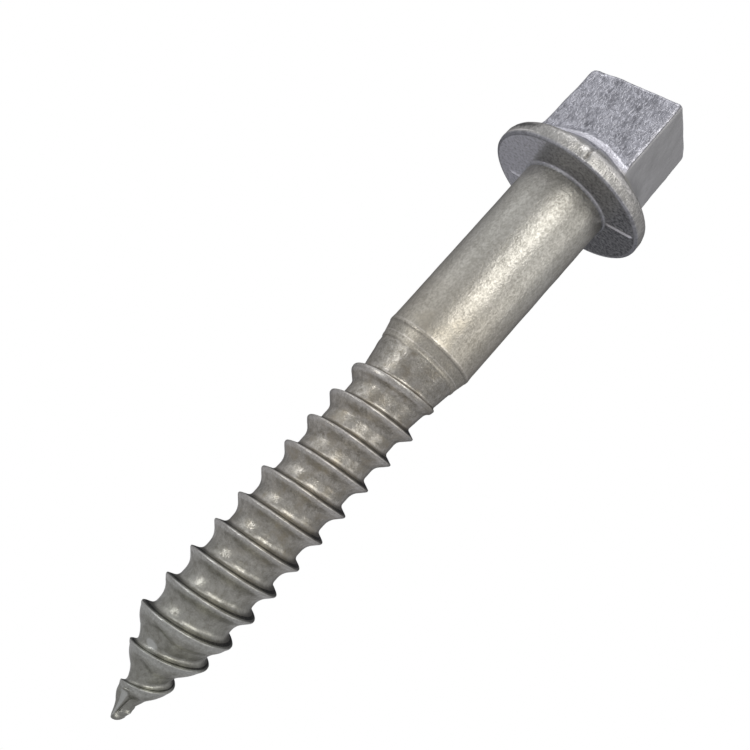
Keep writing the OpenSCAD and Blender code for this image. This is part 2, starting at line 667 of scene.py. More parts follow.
    def _normal(self, graph: Graph, grain: bpy.types.Node,
                streaks: bpy.types.NodeSocket) -> bpy.types.NodeSocket:
        """Returns the normal of the mottled, pitted and scratched surface.

        Args:
            graph: The graph that the nodes go into.
            grain: The grain group's node.
            streaks: The scratches' output.

        Returns:
            The normal.
        """
        rough = graph.attribute("rough")
        mottled = graph.maths("MULTIPLY", grain.outputs["Mottle"], rough)
        broad = graph.node("Bump", {"Strength": 1.0, "Distance": self.bump_mm * MM,
                                    "Height": mottled})
        scored = graph.node("Bump", {"Strength": self.scratch_share,
                                     "Distance": self.pit_bump_mm * MM,
                                     "Height": graph.maths("MULTIPLY", streaks, rough),
                                     "Normal": broad.outputs[0]})
        pitted = graph.node("Bump", {"Strength": 1.0, "Distance": self.pit_bump_mm * MM,
                                     "Height": graph.maths("MULTIPLY", grain.outputs["Pits"],
                                                           rough),
                                     "Normal": scored.outputs[0]})
        return pitted.outputs[0]


HEAD_FINISH = SteelFinish(
    name="forged_scale_steel", dark=(0.16, 0.16, 0.177), light=(0.455, 0.455, 0.493),
    worn=(0.93, 0.92, 0.97), oxide=(0.12, 0.12, 0.125), rough_dark=0.52, rough_light=0.40,
    rough_worn=0.36, cloud_mm=6.0, mottle_mm=1.2, pit_mm=0.5, grain_length=2.2,
    scratch_share=0.75, streak_mm=0.5, streak_len_mm=4.0, bump_mm=0.2, pit_bump_mm=0.09,
    contrast=3.6,
    plain=(0.60, 0.595, 0.585), plain_dark=(0.46, 0.455, 0.45), stain=(0.30, 0.27, 0.20),
    stain_share=0.0, stain_z=(0.0, 30.0), ragged=1.3, ragged_mm=0.8,
    tint_low=(1.0, 0.98, 0.89), tint_low_z=(8.4, 6.4), tint_stop_z=(1.0, 0.1))
SHANK_FINISH = SteelFinish(
    name="satin_shank_steel", dark=(0.355, 0.34, 0.30), light=(0.60, 0.585, 0.535),
    worn=(0.70, 0.68, 0.64), oxide=(0.2, 0.19, 0.17), rough_dark=0.46, rough_light=0.34,
    rough_worn=0.32, cloud_mm=9.0, mottle_mm=0.9, pit_mm=0.45, grain_length=1.3,
    scratch_share=0.12, streak_mm=0.25, streak_len_mm=3.0, bump_mm=0.07, pit_bump_mm=0.05,
    contrast=3.0,
    plain=(0.55, 0.54, 0.5), plain_dark=(0.45, 0.44, 0.4), stain=(0.30, 0.26, 0.18),
    stain_share=0.35, stain_z=(-80.0, -38.0), ragged=0.8, ragged_mm=0.8,
    tint_low=(1.0, 0.97, 0.93), tint_low_z=(-20.0, -50.0))
THREAD_FINISH = SteelFinish(
    name="rolled_thread_steel", dark=(0.26, 0.24, 0.20), light=(0.64, 0.61, 0.555),
    worn=(0.72, 0.70, 0.67), oxide=(0.11, 0.105, 0.10), rough_dark=0.42, rough_light=0.28,
    rough_worn=0.30, cloud_mm=4.0, mottle_mm=1.3, pit_mm=0.4, grain_length=1.0,
    scratch_share=0.10, streak_mm=0.25, streak_len_mm=2.0, bump_mm=0.10, pit_bump_mm=0.05,
    contrast=3.6,
    plain=(0.44, 0.42, 0.39), plain_dark=(0.34, 0.325, 0.3), stain=(0.24, 0.20, 0.13),
    stain_share=0.6, stain_z=(-125.0, -50.0), ragged=0.7, ragged_mm=0.5,
    tint_low=(0.83, 0.87, 0.86), tint_low_z=(-85.0, -150.0))


# ---------------------------------------------------------------- the forging


class Skin:
    """One closed skin of the forging, rolled round its axis in rows and steps."""

    def rolled(self, name: str, rows: int, steps: int, finish: SteelFinish,
               effects: Effects, cut_z: float | None = None) -> bpy.types.Object:
        """Rolls, closes and dresses the skin.

        Args:
            name: The piece's name.
            rows: The number of points of its section.
            steps: The number of steps round the axis.
            finish: Its finish.
            effects: The shared node groups.
            cut_z: The height over which the skin is cut off, if it runs past its end.

        Returns:
            The dressed piece.
        """
        # the edge mark carries rubbed wear and painted highlights; the hollow mark carries
        # oxide and painted shade
        bm = rolled_sheet(rows, steps, self._place, {
            "edge": self._wear_and_highlight_mark, "hollow": self._oxide_and_shade_mark, "rough": self._rough_mark})
        if cut_z is not None:
            bmesh.ops.remove_doubles(bm, verts=bm.verts, dist=MERGE_DISTANCE)
            everything = [*bm.verts, *bm.edges, *bm.faces]
            bmesh.ops.bisect_plane(bm, geom=everything, dist=1e-7, plane_co=(0, 0, cut_z),
                                   plane_no=(0, 0, 1), clear_outer=True)
        piece = finished(bm, name)
        piece.data.materials.append(finish.material(effects))
        return piece


@dataclass
class HeadAndCollar(Skin):
    """The rectangular drive head and the coned collar under it, as one skin."""

    half_x: float = 13.4 * MM
    half_y: float = 10.5 * MM
    lean: float = 0.4 * MM
    corner_r: float = 1.1 * MM
    top_edge: float = 0.8 * MM
    worn_edge: float = 2.4 * MM
    top_slant: float = 0.018
    rim_wall: float = 2.4 * MM
    rim_lower_r: float = 0.8 * MM
    rim_upper_r: float = 3.0 * MM
    slope: float = math.radians(32)
    foot_fillet: float = 3.0 * MM
    side_fillet: float = 4.5 * MM
    flare: float = 0.6
    seat_fillet: float = 0.8 * MM
    parting_y: float = 1.3 * MM
    parting_height: float = 0.48 * MM
    parting_width: float = 0.6 * MM
    parting_ends: Point2 = (13.5 * MM, 19.0 * MM)
    long_parting_end: float = 20.9 * MM
    # where the seat is painted as lit
    lit_side_angle: float = math.radians(29)
    lit_side_from: float = 10.5 * MM
    nick_angle: float = math.radians(-68)
    nick_depth: float = 0.75 * MM
    nick_width: float = 0.5 * MM
    torn_depth: float = 0.35 * MM
    torn_width: float = 2.2 * MM
    flash_rise: float = 0.35 * MM
    long_wave: Point2 = (5 * MM, 0.14 * MM)
    short_wave: Point2 = (1.4 * MM, 0.07 * MM)
    wave_room: float = 0.16 * MM
    # the painted highlight band over the foot
    highlight_band_low: float = 2.0 * MM
    highlight_band_high: float = 3.3 * MM
    columns: int = 480

    def __post_init__(self) -> None:
        """Reads the overall sizes from the frame and lays out the sections."""
        collar_low, collar_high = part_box("collar")
        self.top_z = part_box("drive_head")[1].z
        self.collar_r = (collar_high.x - collar_low.x) / 2
        self.shank_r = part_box("shank")[1].x
        self.cone_r = self.collar_r - self.rim_upper_r * (1 - math.sin(self.slope))
        self.cone_z = self.rim_wall + self.rim_upper_r * math.cos(self.slope)
        self.seat_r = self.collar_r - self.rim_lower_r
        made = [self._section(self._angle(i)) for i in range(self.columns)]
        self.sections = [[point for point, _ in section] for section in made]
        self.zones = [zone for _, zone in made[0]]
        self.rows = len(self.zones)

    def _angle(self, column: int) -> float:
        """Returns a column's angle, with the columns closer together near the X axis."""
        even = TURN * column / self.columns
        return even - 0.2 * math.sin(2 * even)

    def _outline(self, angle: float, inset: float) -> float:
        """Returns how far the head's rounded rectangle reaches from the axis.

        Args:
            angle: The direction, round from +X.
            inset: How far the sides are moved in.

        Returns:
            The reach.
        """
        c, s = abs(math.cos(angle)), abs(math.sin(angle))
        side_x, side_y = self.half_x - inset, self.half_y - inset
        mid_x, mid_y = side_x - self.corner_r, side_y - self.corner_r
        if s * side_x <= c * mid_y:
            return side_x / c
        if c * side_y <= s * mid_x:
            return side_y / s
        reach = mid_x * c + mid_y * s
        spare = reach ** 2 - mid_x ** 2 - mid_y ** 2 + self.corner_r ** 2
        return reach + math.sqrt(max(0.0, spare))

    def _near(self, angle: float, corner: Corner, spread: float) -> float:
        """Returns 1 at one of the head's upright edges, falling to 0 over a spread of angle."""
        middle = math.atan2(self.half_y * corner.value[1], self.half_x * corner.value[0])
        return 1 - ease(abs(math.remainder(angle - middle, TURN)) / spread)

    def _brow_reach(self, angle: float) -> float:
        """Returns how far the top edge is worn back, more at three of its corners.

        Args:
            angle: The direction, round from +X.

        Returns:
            The reach of the round.
        """
        worn = max(self._near(angle, Corner.NEAR_LEFT, math.radians(22)),
                   0.6 * self._near(angle, Corner.FAR_RIGHT, math.radians(16)),
                   0.5 * self._near(angle, Corner.FAR_LEFT, math.radians(16)))
        return mix(self.top_edge, self.worn_edge, worn)

    def _foot_reach(self, angle: float) -> float:
        """Returns the foot fillet's reach: softer on the X faces than on the Y faces."""
        return mix(self.foot_fillet, self.side_fillet, ease((abs(math.cos(angle)) - 0.7) / 0.2))

    def _cone_height(self, radius: float) -> float:
        """Returns the height of the collar's cone at a radius."""
        return self.cone_z + (self.cone_r - radius) * math.tan(self.slope)

    def _section(self, angle: float) -> list[tuple[Point2, Zone]]:
        """Returns the section at an angle, from the top's centre round to the base's centre.

        Args:
            angle: The direction of the section, round from +X.

        Returns:
            Points of (radius, height) with their zones, the same number at every angle.
        """
        foot_side = self._outline(angle, -self.lean / 2)
        top = (0.0, self.top_z)
        brow = (self._outline(angle, self.lean / 2), self.top_z)
        foot = (foot_side, self._cone_height(foot_side))
        shoulder = (self.cone_r, self.cone_z)
        ledge = math.dist(foot, shoulder)
        edge = round_corner(top, brow, foot, self._brow_reach(angle), 7)
        fillet = round_corner(brow, foot, shoulder,
                              min(self._foot_reach(angle), 0.8 * ledge), 10)
        if not self._across(angle):
            fillet = self._flared(fillet)
        seat_start = (self.shank_r + self.seat_fillet, 0.0)
        base = [(self.shank_r * 0.5, -self.seat_fillet), (0.0, -self.seat_fillet)]
        upper = arc((self.collar_r - self.rim_upper_r, self.rim_wall), self.rim_upper_r,
                    math.pi / 2 - self.slope, 0, 9)
        lower = arc((self.seat_r, self.rim_lower_r), self.rim_lower_r, 0, -math.pi / 2, 7)
        lip = arc((seat_start[0], -self.seat_fillet), self.seat_fillet, math.pi / 2, math.pi, 7)
        pieces = [
            (Zone.TOP, [top, *between(top, edge[0], 14)]),
            (Zone.BROW, edge),
            (Zone.SIDE, between(edge[-1], fillet[0], 62)),
            (Zone.FOOT, fillet),
            (Zone.CONE, between(fillet[-1], shoulder, 10)),
            (Zone.RIM, [*upper, *between(upper[-1], lower[0], 5), *lower]),
            (Zone.SEAT, between(lower[-1], seat_start, 26)),
            (Zone.LIP, lip),
            (Zone.BASE, base),
        ]
        return [(point, zone) for zone, points in pieces for point in points]

    def _flared(self, fillet: list[Point2]) -> list[Point2]:
        """Returns the foot's fillet drawn in towards its chord, as the dies left it.

        Args:
            fillet: The fillet's points.

        Returns:
            The same number of points.
        """
        count = len(fillet) + 1
        chord = [fillet[0], *between(fillet[0], fillet[-1], count - 3), fillet[-1]]
        return [(mix(r, line_r, self.flare), mix(z, line_z, self.flare))
                for (r, z), (line_r, line_z) in zip(fillet, chord)]

    def _place(self, row: int, column: int) -> Vector:
        """Returns the place of a row and column, with the forging's own faults.

        Args:
            row: The row of the section.
            column: The column round the axis.

        Returns:
            The place.
        """
        angle = self._angle(column)
        radius, height = self.sections[column % self.columns][row]
        zone = self.zones[row]
        place = polar(radius, angle, height)
        if radius == 0.0:
            return place - Vector((0, 0, self._dish(place) if zone is Zone.TOP else 0))
        if zone in (Zone.SEAT, Zone.LIP, Zone.BASE):
            return place - Vector((0, 0, self._parting(place)))
        outward = polar(1, angle)
        rough = 0.6 if abs(math.cos(angle)) > 0.79 else 1.0
        waves = (unevenness(place, *self.long_wave, 3)
                 + rough * unevenness(place, *self.short_wave, 7))
        place -= outward * (self.wave_room + waves) * ease(height / MM)
        place -= outward * self._nick(angle, zone, height)
        share = ease((height - self.top_z + 4 * MM) / (4 * MM))
        place.z -= self._dish(place) * share
        if zone in (Zone.CONE, Zone.FOOT):
            place.z += self._flash(angle, zone)
        return place

    def _dish(self, place: Vector) -> float:
        """Returns how far the top lies below its highest corner, which is slanted and rough."""
        slant = self.top_slant * (self.half_x - place.x)
        return slant + 0.1 * MM + unevenness(place, 4 * MM, 0.1 * MM, 11)

    def _parting(self, place: Vector) -> float:
        """Returns how far the dies' parting ridge stands down from the seat.

        Args:
            place: The point on the surface.

        Returns:
            The ridge's height.
        """
        radius = place.xy.length
        start = self.shank_r + self.seat_fillet * 0.4
        span = bump_at(abs(place.y - self.parting_y), 0, self.parting_width)
        if place.x > 0:
            ends = ease((radius - start) / MM) * ease((self.long_parting_end - radius) / MM)
            return self.parting_height * span * ends
        low, high = self.parting_ends
        ends = ease((radius - low) / MM) * ease((high - radius) / (2 * MM))
        return self.parting_height * 0.6 * span * ends

    def _nick_off(self, angle: float) -> float:
        """Returns the distance round the rim from the trimmed flash's nick."""
        return math.remainder(angle - self.nick_angle, TURN) * self.collar_r

    def _nick(self, angle: float, zone: Zone, height: float) -> float:
        """Returns the depth of the trimmed flash's nick in the front of the rim.

        Args:
            angle: The direction, round from +X.
            zone: The zone of the section.
            height: The height, from the seat.

        Returns:
            The depth.
        """
        if zone not in (Zone.RIM, Zone.CONE):
            return 0.0
        off = self._nick_off(angle)
        off += unevenness(Vector((0, 0, height)), 1.1 * MM, 0.7 * MM, 13)
        notch = self.nick_depth * bump_at(off, 0, self.nick_width)
        torn = self.torn_depth * bump_at(off, -self.torn_width, self.torn_width)
        return (notch + torn) * ease((height - 0.3 * MM) / (1.5 * MM))

    def _flash(self, angle: float, zone: Zone) -> float:
        """Returns the step that trimming left on the cone, to one side of the nick.

        Args:
            angle: The direction, round from +X.
            zone: The zone of the section.

        Returns:
            The step's height.
        """
        off = self._nick_off(angle)
        side = ease((off + 0.25 * MM) / (0.5 * MM)) * ease((9 * MM - off) / (6 * MM))
        return self.flash_rise * side * (1.0 if zone is Zone.CONE else 0.5)

    def _across(self, angle: float) -> bool:
        """Returns whether a direction meets one of the head's X faces."""
        return abs(math.cos(angle)) * self.half_y > abs(math.sin(angle)) * self.half_x

    def _over_foot(self, row: int, column: int) -> float:
        """Returns how far a point of the head's side is above the foot's crease.

        Args:
            row: The row of the section.
            column: The column round the axis.

        Returns:
            The height over the crease.
        """
        section = self.sections[column % self.columns]
        crease = section[self.zones.index(Zone.CONE) - 1][1]
        return section[row][1] - crease

    def _wear_and_highlight_mark(self, row: int, column: int) -> float:
        """Returns 1 on the rubbed edges of the head and the rim, and on painted highlights over
        the foot's band, the rim and the seat.

        Args:
            row: The row of the section.
            column: The column round the axis.

        Returns:
            The mark, from 0 to a little over 1.
        """
        zone, angle = self.zones[row], self._angle(column)
        radius, height = self.sections[column % self.columns][row]
        if zone in (Zone.TOP, Zone.BROW):
            rim_in = self._outline(angle, 0) - radius
            return 0.45 * bump_at(rim_in, 0, 1.1 * MM)
        if zone in (Zone.SIDE, Zone.FOOT):
            # the band over the foot carries a painted highlight; the upright edges are rubbed
            return max(self._painted_highlight_band(row, column), self._upright(radius, angle))
        if zone is Zone.CONE:
            return 0.2
        if zone is Zone.RIM:
            torn = 1.3 * bump_at(self._nick_off(angle), -1.7 * MM, 1.6 * MM)
            # painted highlights: along the rim's upper round, brightest at the front, and along
            # its lower round on the left
            front = bump_at(math.remainder(angle - self.nick_angle, TURN), 0.3, 0.75)
            over = bump_at(height, self.rim_wall + 1.4 * MM, 1.6 * MM)
            under = bump_at(height, 1.0 * MM, 0.45 * MM) * self._left(angle)
            return max(over * (0.3 + 0.5 * front), torn * over, 1.2 * under)
        if zone in (Zone.SEAT, Zone.LIP):
            place = polar(radius, angle, height)
            # painted highlights on the parting ridge, on the fillet ring round the shank and
            # over the seat's painted lit side
            ridge = 1.8 * self._parting(place) / self.parting_height
            fillet = 0.5 * bump_at(radius, self.shank_r + 0.3 * MM, 0.4 * MM)
            return max(ridge, fillet, 0.62 * self._painted_lit_side(angle, radius))
        return 0.0

    def _painted_lit_side(self, angle: float, radius: float) -> float:
        """Returns 1 on the side of the seat that is painted as lit."""
        off = -radius * math.cos(angle - self.lit_side_angle)
        return ease((off - self.lit_side_from) / (2.5 * MM))

    def _left(self, angle: float) -> float:
        """Returns 1 on the side of the rim towards -X and -Y."""
        return bump_at(math.remainder(angle + math.radians(125), TURN), 0, 0.5)

    def _upright(self, radius: float, angle: float) -> float:
        """Returns how rubbed a Y face is near its upright edges.

        Args:
            radius: The distance from the axis.
            angle: The direction, round from +X.

        Returns:
            The mark, from 0 to 1.
        """
        if self._across(angle):
            return 0.0
        rim_in = self.half_x - radius * abs(math.cos(angle))
        return 0.36 * bump_at(rim_in, 0.4 * MM, 2.0 * MM)

    def _painted_highlight_band(self, row: int, column: int) -> float:
        """Returns the painted highlight on the band over the foot of a Y face: higher towards
        one end.

        Args:
            row: The row of the section.
            column: The column round the axis.

        Returns:
            The mark, from 0 to a little over 1.
        """
        angle = self._angle(column)
        if self._across(angle):
            return 0.0
        radius = self.sections[column % self.columns][row][0]
        along_it = 0.5 - 0.5 * radius * math.cos(angle) / self.half_x * math.sin(angle)
        width = mix(self.highlight_band_low, self.highlight_band_high, along_it)
        over = self._over_foot(row, column)
        inside = ease((over - 0.3 * MM) / (0.4 * MM)) * ease((width - over) / (1.8 * MM) + 0.5)
        return mix(1.0, 1.45, along_it) * inside

    def _oxide_and_shade_mark(self, row: int, column: int) -> float:
        """Returns how dark the steel is painted: painted shade in the foot's crease, on the
        left of the rim and on the seat away from its painted lit side, and a darker tone over
        the cone.

        Args:
            row: The row of the section.
            column: The column round the axis.

        Returns:
            The mark, from 0 to 1.
        """
        zone, angle = self.zones[row], self._angle(column)
        if zone in (Zone.SEAT, Zone.LIP):
            radius = self.sections[column % self.columns][row][0]
            # painted shade over the seat, lifted on its painted lit side and deepest opposite
            # it
            painted_lit = self._painted_lit_side(angle, radius)
            return 0.45 - 0.45 * painted_lit + 0.15 * self._painted_lit_side(angle + math.pi, radius)
        if zone is Zone.RIM:
            height = self.sections[column % self.columns][row][1]
            # painted shade on the left of the rim's wall
            return 0.9 * self._left(angle) * bump_at(height, 3.0 * MM, 1.7 * MM)
        if zone not in (Zone.FOOT, Zone.CONE):
            return 0.0
        # painted shade in the crease of the Y faces' foot, and a darker tone over the cone
        crease = bump_at(row - self.zones.index(Zone.CONE), 0.0, 1.8)
        over_cone = 0.34 if zone is Zone.CONE else 0.0
        return max(over_cone, 0.0 if self._across(angle) else 0.7 * crease)

    def _rough_mark(self, row: int, column: int) -> float:
        """Returns how rough the scale is: all of it on the Y faces, little on the X faces.

        Args:
            row: The row of the section.
            column: The column round the axis.

        Returns:
            The mark, from 0 to 1.
        """
        zone, angle = self.zones[row], self._angle(column)
        if zone in (Zone.SEAT, Zone.LIP, Zone.BASE):
            return 0.3
        if zone in (Zone.RIM, Zone.CONE):
            return 0.7
        return 0.12 if self._across(angle) and zone is not Zone.TOP else 1.0

    def build(self, effects: Effects) -> bpy.types.Object:
        """Builds the piece, dresses it and joins it to the frame.

        Args:
            effects: The shared node groups.

        Returns:
            The finished piece.
        """
        piece = self.rolled("head_and_collar", self.rows, self.columns, HEAD_FINISH, effects)
        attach(piece, "root")
        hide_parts("drive_head", "collar")
        return piece


@dataclass
class ShankAndNeck(Skin):
    """The plain shank and the short neck that steps down to the thread."""

    lip: float = 0.12 * MM
    drop: float = 1.0 * MM
    ring_tilt: float = 0.22 * MM
    columns: int = 240

    def __post_init__(self) -> None:
        """Reads the zones' sizes from the frame and lays out the rows."""
        low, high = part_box("shank")
        self.radius = high.x
        self.top_z = high.z
        self.end_z = low.z
        self.neck_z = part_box("neck")[0].z
        neck_r = self.radius - self.drop
        length = self.end_z - self.neck_z
        # how far up the neck, and how much wider than its lower end in millimetres
        rings = [(0, 0), (0.10, 0.13), (0.22, 0.16), (0.36, 0.28), (0.62, 0.56), (0.88, 0.84),
                 (0.97, 1.04)]
        self.knots = [
            *((self.neck_z + up * length, neck_r + wider * MM) for up, wider in rings),
            (self.end_z + 0.45 * MM, self.radius + self.lip),
            (self.end_z + 1.6 * MM, self.radius),
            (self.top_z, self.radius),
        ]
        shank_rows = between((self.top_z, 0), (self.end_z + 1.6 * MM, 0), 90)
        neck_rows = between((self.end_z + 1.6 * MM, 0), (self.neck_z, 0), 44)
        levels = [self.top_z, *(p[0] for p in shank_rows), *(p[0] for p in neck_rows)]
        self.levels = [*levels, self.neck_z]

    def _place(self, row: int, column: int) -> Vector:
        """Returns the place of a row and column, with a rolled surface's slight waves.

        Args:
            row: The row of the section.
            column: The column round the axis.

        Returns:
            The place.
        """
        angle = TURN * column / self.columns
        height = self.levels[row]
        inside = ease((self.top_z - height) / MM) * ease((height - self.neck_z) / MM)
        # the neck's rings lean a little, as the thread does
        tilt = self.ring_tilt * math.sin(angle + math.radians(20)) * inside
        shift = tilt * ease((self.end_z + 4 * MM - height) / (4 * MM))
        radius = along(self.knots, height - shift)
        place = polar(radius, angle, height)
        radius += inside * (unevenness(place, 5 * MM, 0.05 * MM, 5)
                            + unevenness(place, 1.5 * MM, 0.015 * MM, 9))
        return polar(radius, angle, height)

    def _wear_and_highlight_mark(self, row: int, column: int) -> float:
        """Returns 1 on the lip at the shank's end and on the neck's crease: painted highlights
        on these rings.

        Args:
            row: The row of the section.
            column: The column round the axis; not used.

        Returns:
            The mark, from 0 to 1.
        """
        height = self.levels[row]
        # painted highlights on the ring of the shank's lip and on the neck's crease
        lip = bump_at(height, self.end_z + 0.4 * MM, 0.5 * MM)
        crease = bump_at(height, self.neck_z + 0.35 * (self.end_z - self.neck_z), 0.35 * MM)
        return max(0.6 * lip, 0.75 * crease)

    def _oxide_and_shade_mark(self, row: int, column: int) -> float:
        """Returns 1 in the corner just under the shank's end, as painted shade."""
        return 0.5 * bump_at(self.levels[row], self.end_z - 0.35 * MM, 0.4 * MM)

    def _rough_mark(self, row: int, column: int) -> float:
        """Returns 1: the whole shank is equally rough."""
        return 1.0

    def build(self, effects: Effects) -> bpy.types.Object:
        """Builds the piece, dresses it and joins it to the frame.

        Args:
            effects: The shared node groups.

        Returns:
            The finished piece.
        """
        piece = self.rolled("shank_and_neck", len(self.levels), self.columns, SHANK_FINISH,
                            effects)
        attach(piece, "root")
        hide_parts("shank", "neck")
        return piece


@dataclass
class ThreadAndPoint(Skin):
    """The wood-screw thread and the gimlet point, as one helical skin."""

    pitch: float = 8.1 * MM
    core_r: float = 8.75 * MM
    neck_r: float = 11.0 * MM
    crest_r: float = 11.3 * MM
    crest_w: float = 0.5 * MM
    first_crest: float = -72.1 * MM
    steep: float = math.radians(22)
    shallow: float = math.radians(46)
    runout: float = 13.0 * MM
    fade: float = 10.4 * MM
    blunt_w: float = 1.3 * MM
    belly: float = 0.35 * MM
    wander_low: float = math.radians(-95)
    wander_high: float = math.radians(60)
    # how far above the tip, and how far the helix wanders there, in millimetres
    wander: tuple[Point2, ...] = (
        (0, 0), (6, 0.8), (12, 1.8), (20, 2.0), (28, 1.3), (36, 0.8), (46, 0))
    first_rise: float = 1.8 * MM
    tip_r: float = 0.45 * MM
    tip_offset: float = 1.3 * MM
    tip_direction: float = math.radians(30)
    flute_angle: float = math.radians(-39)
    flute_depth: float = 0.5
    flute_width: float = 0.62
    lip_height: float = 0.22
    lip_angle: float = 0.85
    # the painted highlight patch on the point; the root is also widened there
    highlight_patch_angle: float = math.radians(-86)
    highlight_patch_z: float = -145.2 * MM
    highlight_patch_spread: float = 0.36
    highlight_patch_height: float = 1.1 * MM
    steps_a_turn: int = 110

    def __post_init__(self) -> None:
        """Reads the levels from the frame and counts the turns."""
        self.top_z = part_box("thread")[1].z
        self.point_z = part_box("thread")[0].z
        self.tip_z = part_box("gimlet_point")[0].z
        self.point_len = self.point_z - self.tip_z
        self.turns = math.ceil((self.top_z - self.tip_z) / self.pitch) + 3
        self.steps = self.turns * self.steps_a_turn
        # the sheet starts below the tip, at a crest on the +X side
        below = math.ceil((self.first_crest - self.tip_z) / self.pitch) + 1
        self.start_z = self.first_crest - below * self.pitch
        made = [self._section(i) for i in range(self.steps + 1)]
        self.sections = [[point for point, _ in section] for section in made]
        self.parts = [part for _, part in made[0]]
        self.rows = len(self.parts)

    def _crest_z(self, step: int) -> float:
        """Returns the height of the crest at a step of the helix.

        Args:
            step: The step of the helix.

        Returns:
            The height. On the point the crest climbs quickly on one side of the spike and
            slowly on the other.
        """
        height = self.start_z + self.pitch * step / self.steps_a_turn
        turned = (TURN * step / self.steps_a_turn - self.wander_low) % TURN
        climb = self.wander_high - self.wander_low
        if turned < climb:
            share = ease(turned / climb)
        else:
            share = ease((TURN - turned) / (TURN - climb))
        knots = [(self.tip_z + up * MM, most * MM) for up, most in self.wander]
        reach = along(knots, height)
        return height + reach * (1.3 * share - 0.3)

    def _core(self, height: float) -> float:
        """Returns the core's radius at a height.

        Args:
            height: The height, from the seat.

        Returns:
            The radius.
        """
        run_end = self.top_z - self.runout
        if height > run_end:
            share = (height - run_end) / self.runout
            return mix(self.core_r, self.neck_r, share * (0.8 + 0.2 * share))
        share = clamp((height - self.tip_z) / self.point_len)
        return mix(self.tip_r, self.core_r, share ** 1.1)

    def _crest(self, height: float) -> float:
        """Returns the crest's radius at a height."""
        share = (height - self.tip_z) / self.point_len
        return mix(self.tip_r + 0.1 * MM, self.crest_r, clamp(share) ** 0.95)

    def _ridge(self, height: float) -> float:
        """Returns the ridge's height over the core where its crest is at a height.

        Args:
            height: The height, from the seat.

        Returns:
            The ridge's height.
        """
        run = self.fade - self.first_rise
        rise = mix(1, 0, (height - (self.top_z - self.fade)) / run)
        return rise * max(0.0, self._crest(height) - self._core(height))

    def _half_crest(self, height: float) -> float:
        """Returns half the crest's width: blunt on the first turn, then sharp."""
        down = (self.top_z - self.fade - height) / self.pitch
        return mix(self.blunt_w, self.crest_w, ease(down + 0.4)) / 2

    def _section(self, step: int) -> list[tuple[Point2, Flank]]:
        """Returns one pitch of the thread's section above a crest.

        Args:
            step: The step of the helix that the section stands at.

        Returns:
            Points of (height, radius) with their flanks, from the middle of this crest to
            the next one's.
        """
        crest_z = self._crest_z(step)
        next_z = self._crest_z(step + self.steps_a_turn)
        low_h, high_h = self._ridge(crest_z), self._ridge(next_z)
        low_w, high_w = self._half_crest(crest_z), self._half_crest(next_z)
        room = next_z - crest_z - low_w - high_w
        steep_run = low_h * math.tan(self.steep)
        shallow_run = high_h * math.tan(self.shallow)
        fit = min(1.0, 0.85 * room / max(steep_run + shallow_run, 1e-6))
        root_z = crest_z + low_w + steep_run * fit
        foot_z = next_z - high_w - shallow_run * fit
        # on the point the shallow flank runs on down to the next ridge, less so at the painted
        # highlight patch
        pointed = ease((self.point_z - crest_z + 2 * MM) / (9 * MM))
        off = math.remainder(TURN * step / self.steps_a_turn - self.highlight_patch_angle, TURN)
        share = 0.35 + 0.5 * bump_at(off, 0, 0.6)
        foot_z = mix(foot_z, root_z + share * (foot_z - root_z), pointed)
        softness = mix(0.9, 1.9, (self.top_z - 16 * MM - crest_z) / (36 * MM)) * MM
        start = self._on_ridge(crest_z, low_h)
        crest_edge = self._on_ridge(crest_z + low_w, low_h)
        root, foot = self._on_ridge(root_z, 0), self._on_ridge(foot_z, 0)
        next_edge = self._on_ridge(next_z - high_w, high_h)
        last = self._on_ridge(next_z, high_h)
        rounding = mix(0.3, 0.5, (self.top_z - 20 * MM - crest_z) / (50 * MM)) * MM
        crest = round_corner(start, crest_edge, root, rounding, 4)
        near_root = round_corner(crest_edge, root, foot, 0.6 * softness, 6)
        near_foot = round_corner(root, foot, next_edge, softness, 7)
        near_edge = round_corner(foot, next_edge, last, 1.5 * rounding, 5)
        flank = between(near_foot[-1], near_edge[0], 7)
        flank = [(z, r + pointed * self.belly * self._fullness(i, len(flank)))
                 for i, (z, r) in enumerate(flank)]
        pieces = [
            (Flank.CREST, [start, *crest]),
            (Flank.STEEP, between(crest[-1], near_root[0], 5)),
            (Flank.ROOT, near_root),
            (Flank.GROOVE, [*between(near_root[-1], near_foot[0], 5), *near_foot]),
            (Flank.SHALLOW, flank),
            (Flank.BROW, [*near_edge, last]),
        ]
        return [(point, part) for part, points in pieces for point in points]

    def _on_ridge(self, height: float, rise: float) -> Point2:
        """Returns the point at a height that stands a rise over the core."""
        return (height, min(self.crest_r, self._core(height) + rise))

    def _fullness(self, place: int, count: int) -> float:
        """Returns how full a flank is at one of its points: nothing at its ends."""
        return math.sin(math.pi * (place + 1) / (count + 1))

    def _bend(self, height: float) -> Vector:
        """Returns how far the drawn-out tip stands off the axis at a height."""
        share = ease((self.point_z - 5.5 * MM - height) / (7 * MM))
        return polar(self.tip_offset * share, self.tip_direction)

    def _place(self, row: int, step: int) -> Vector:
        """Returns the place of a row of the section at a step of the helix.

        Args:
            row: The row of the section.
            step: The step of the helix.

        Returns:
            The place.
        """
        height, radius = self.sections[step][row]
        if height <= self.tip_z:
            return self._bend(self.tip_z) + Vector((0, 0, self.tip_z))
        height = min(height, self.top_z + 0.5 * self.pitch)
        nose = clamp((height - self.tip_z) / (1.2 * MM))
        radius *= math.sqrt(1 - (1 - nose) ** 2)
        angle = TURN * step / self.steps_a_turn
        place = polar(radius, angle, height)
        inside = ease((self.top_z - height) / MM) * nose
        radius += inside * (unevenness(place, 5 * MM, 0.07 * MM, 5)
                            + unevenness(place, 1.6 * MM, 0.03 * MM, 9))
        radius *= self._pinch(angle, height)
        return polar(radius, angle, height) + self._bend(height)

